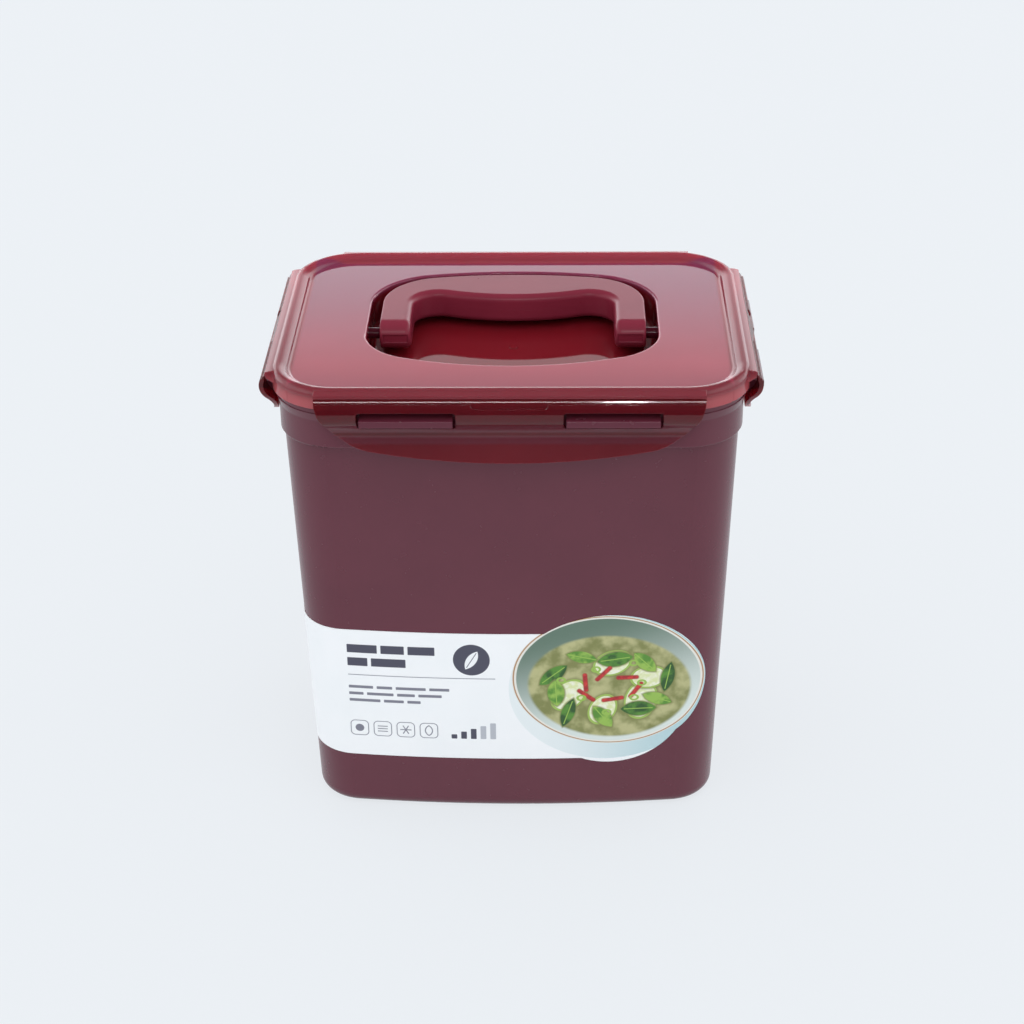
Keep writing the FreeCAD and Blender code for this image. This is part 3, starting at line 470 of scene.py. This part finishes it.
grain = place.noise(420.0, 3.0).ramp(0.3, 0.7)
ivory_ink, red_ink = grain.blend(IVORY, CORE), grain.blend(RED_DARK, RED)
streak = place.noise(160.0, 4.0).ramp(0.4, 0.6)
leaf_inks = streak.blend(LEAF_DARK, LEAF), streak.blend(LEAF, LEAF_LIGHT)
for turn, size in RADISHES:
    x, z = about_bowl(turn, 19.0, 12.5)
    slice_edge = art.disc(x, z, size, size * 0.72, turn / 4)
    art.lay(slice_edge - 0.5, BROTH_DEEP, 0.9)
    art.lay(slice_edge, SKIN)
    art.lay(slice_edge + 0.8, ivory_ink)
    art.line(slice_edge + size * 0.36, 0.4, CORE, 0.4)
for index in range(LEAVES):
    turn = 360.0 / LEAVES * index + 12.0
    x, z = about_bowl(turn, 27.0 - 3.0 * (index % 2), 18.5 - 2.0 * (index % 3))
    lean = turn * 0.8 + 70.0 + 25.0 * (index % 3)
    leaf = art.leaf(x, z, 16.0 - 2.0 * (index % 2), 6.0 + 0.8 * (index % 3), lean)
    art.lay(leaf - 0.5, BROTH_DEEP, 0.6)
    art.lay(leaf, leaf_inks[index % 2], 0.25)
    art.lay(art.bar(x, z, 13.0, 0.45, 0.2, lean), LEAF_LIGHT)
for index in range(STRIPS):
    x, z = about_bowl(360.0 / STRIPS * index + 40.0, 11.0 + 2.0 * (index % 2), 7.0)
    strip = art.bar(x, z, 9.6, 1.6, 0.7, 47.0 * index)
    art.lay(strip - 0.3, RED_DARK, 0.4)
    art.lay(strip, red_ink)
for index in range(CHIVES):
    x, z = about_bowl(52.0 * index + 8.0, 15.0 + 7.0 * (index % 2), 10.0 + 4.0 * (index % 2))
    art.line(art.disc(x, z, 1.7, 1.3), 0.8, LEAF_LIGHT)
link(art.ink, shader, "Base Color")
link(place.noise(200.0) * 0.06 + 0.32, shader, "Roughness")
print("label film:", len(label_film.node_tree.nodes), "nodes")

# %% [markdown]
# ## Dress the nodes
# Each node of the construction already has its true shape, so it only needs its finish.

# %% Give each node its finish
FINISHES = {
    "container_body": plum,
    "lid_panel": lid_wine,
    "front_latch": latch_wine,
    "back_latch": latch_wine,
    "left_latch": latch_wine,
    "right_latch": latch_wine,
    "lid_seal": milky,
    "handle": handle_red,
    "label": label_film,
}
for name, material in FINISHES.items():
    nodes[name].data.materials.clear()
    nodes[name].data.materials.append(material)
    print(name, "wears", material.name)

# %% [markdown]
# ## Studio
# A pale floor runs under and behind the container. Polished plastic shows what stands about it,
# so the sky has three faces: an even white one that lights the object, a plain one that the
# camera sees, and one that only reflections see. That last one is a photographer's room: a bright
# wall behind, pale sides, a dark ceiling, and darkness about the camera, with a dark card on the
# floor before the container. A long lamp and a small one above the camera draw the bright lines
# along the rims.

# %% Floor
PALE = colour(242, 246, 250)

bpy.ops.object.select_all(action="DESELECT")
bpy.ops.mesh.primitive_plane_add(size=14)
floor = bpy.context.object
floor.name = "floor"
pale, place, shader = new_material("pale_floor")
link(place.noise(3.0).blend(colour(196, 201, 205), colour(199, 203, 208)), shader, "Base Color")
shader.inputs["Roughness"].default_value = 0.9
shader.inputs["Specular IOR Level"].default_value = 0.1
floor.data.materials.append(pale)

# %% [markdown]
# The camera should see the floor lighter than its own shadows allow, as in a picture lit until the
# ground almost vanishes. Light Path tells which ray asks: for the camera's rays and reflections,
# most of the floor's colour is given instead of worked out, and the rest keeps the shadow.

# %% Floor as the camera sees it
GIVEN_SHARE = 0.8

tree = pale.node_tree
rays = tree.nodes.new("ShaderNodeLightPath").outputs
ray = Wire(tree, rays["Is Camera Ray"]).larger(Wire(tree, rays["Is Glossy Ray"]))
glow = tree.nodes.new("ShaderNodeEmission")
glow.inputs["Color"].default_value = PALE
mix_with(pale, shader, glow, ray * GIVEN_SHARE)
print("floor:", len(tree.nodes), "nodes")

# %% Dark card for reflections
CARD_WIDE, CARD_DEEP, CARD_START, CARD_RISE = 12, 6.5, 0.48, 0.002

bpy.ops.object.select_all(action="DESELECT")
bpy.ops.mesh.primitive_plane_add(size=1, location=(0, -CARD_START - CARD_DEEP / 2, CARD_RISE))
card = bpy.context.object
card.name = "dark_card"
card.scale = (CARD_WIDE, CARD_DEEP, 1)
card.visible_camera = card.visible_diffuse = card.visible_shadow = card.visible_transmission = False
card_black, place, shader = new_material("card_black")
link(place.noise(4.0).blend(colour(40, 37, 41), colour(44, 41, 46)), shader, "Base Color")
shader.inputs["Roughness"].default_value = 1.0
card.data.materials.append(card_black)
print("card:", CARD_WIDE, "by", CARD_DEEP, "m")

# %% Lamps
LAMP_TARGET = (0, 0, 0.15)


def soft_lamp(name, place, wide, deep, light):
    """A lamp whose face is as bright as the number light, aimed at the container."""
    bpy.ops.object.light_add(type="AREA", location=place)
    lamp = bpy.context.object
    lamp.name = name
    lamp.data.shape = "RECTANGLE"
    lamp.data.size, lamp.data.size_y = wide, deep
    lamp.data.energy = light * math.pi * wide * deep
    aim = Vector(LAMP_TARGET) - Vector(place)
    lamp.rotation_euler = aim.to_track_quat("-Z", "Y").to_euler()
    lamp.visible_diffuse = False
    print(name, "is", wide, "by", deep, "m")


soft_lamp("long_lamp", (0, -1.5, 1.2), 1.6, 0.05, 22.0)
soft_lamp("small_lamp", (0.1, -1.49, 1.19), 0.05, 0.07, 120.0)

# %% Sky
SKY_LIGHT, SEEN_LIGHT = 1.24, 0.92
CEILING_LIGHT, BACK_LIGHT, SIDE_LIGHT = 0.1, 3.3, 1.9

world = bpy.data.worlds.new("studio")
bpy.context.scene.world = world
world.use_nodes = True
tree = world.node_tree
sky = tree.nodes["Background"]
ways = Wire(tree, tree.nodes.new("ShaderNodeTexCoord").outputs["Generated"])
across, deep, up = ways.axes(1.0)
low = 1.0 - up.ramp(0.3, 0.52)
room = CEILING_LIGHT + deep.ramp(0.0, 0.3) * low * BACK_LIGHT
sides = abs(across).ramp(0.4, 0.75) * (1.0 - up.ramp(0.5, 0.9)) * SIDE_LIGHT
room = room.larger(sides)
rays = tree.nodes.new("ShaderNodeLightPath").outputs
mirrored, seen = Wire(tree, rays["Is Glossy Ray"]), Wire(tree, rays["Is Camera Ray"])
others = (1.0 - mirrored) * (1.0 - seen)
link(mirrored * room + seen * SEEN_LIGHT + others * SKY_LIGHT, sky, "Strength")
sky.inputs["Color"].default_value = (0.95, 0.97, 1.0, 1)
print("sky:", len(tree.nodes), "nodes")
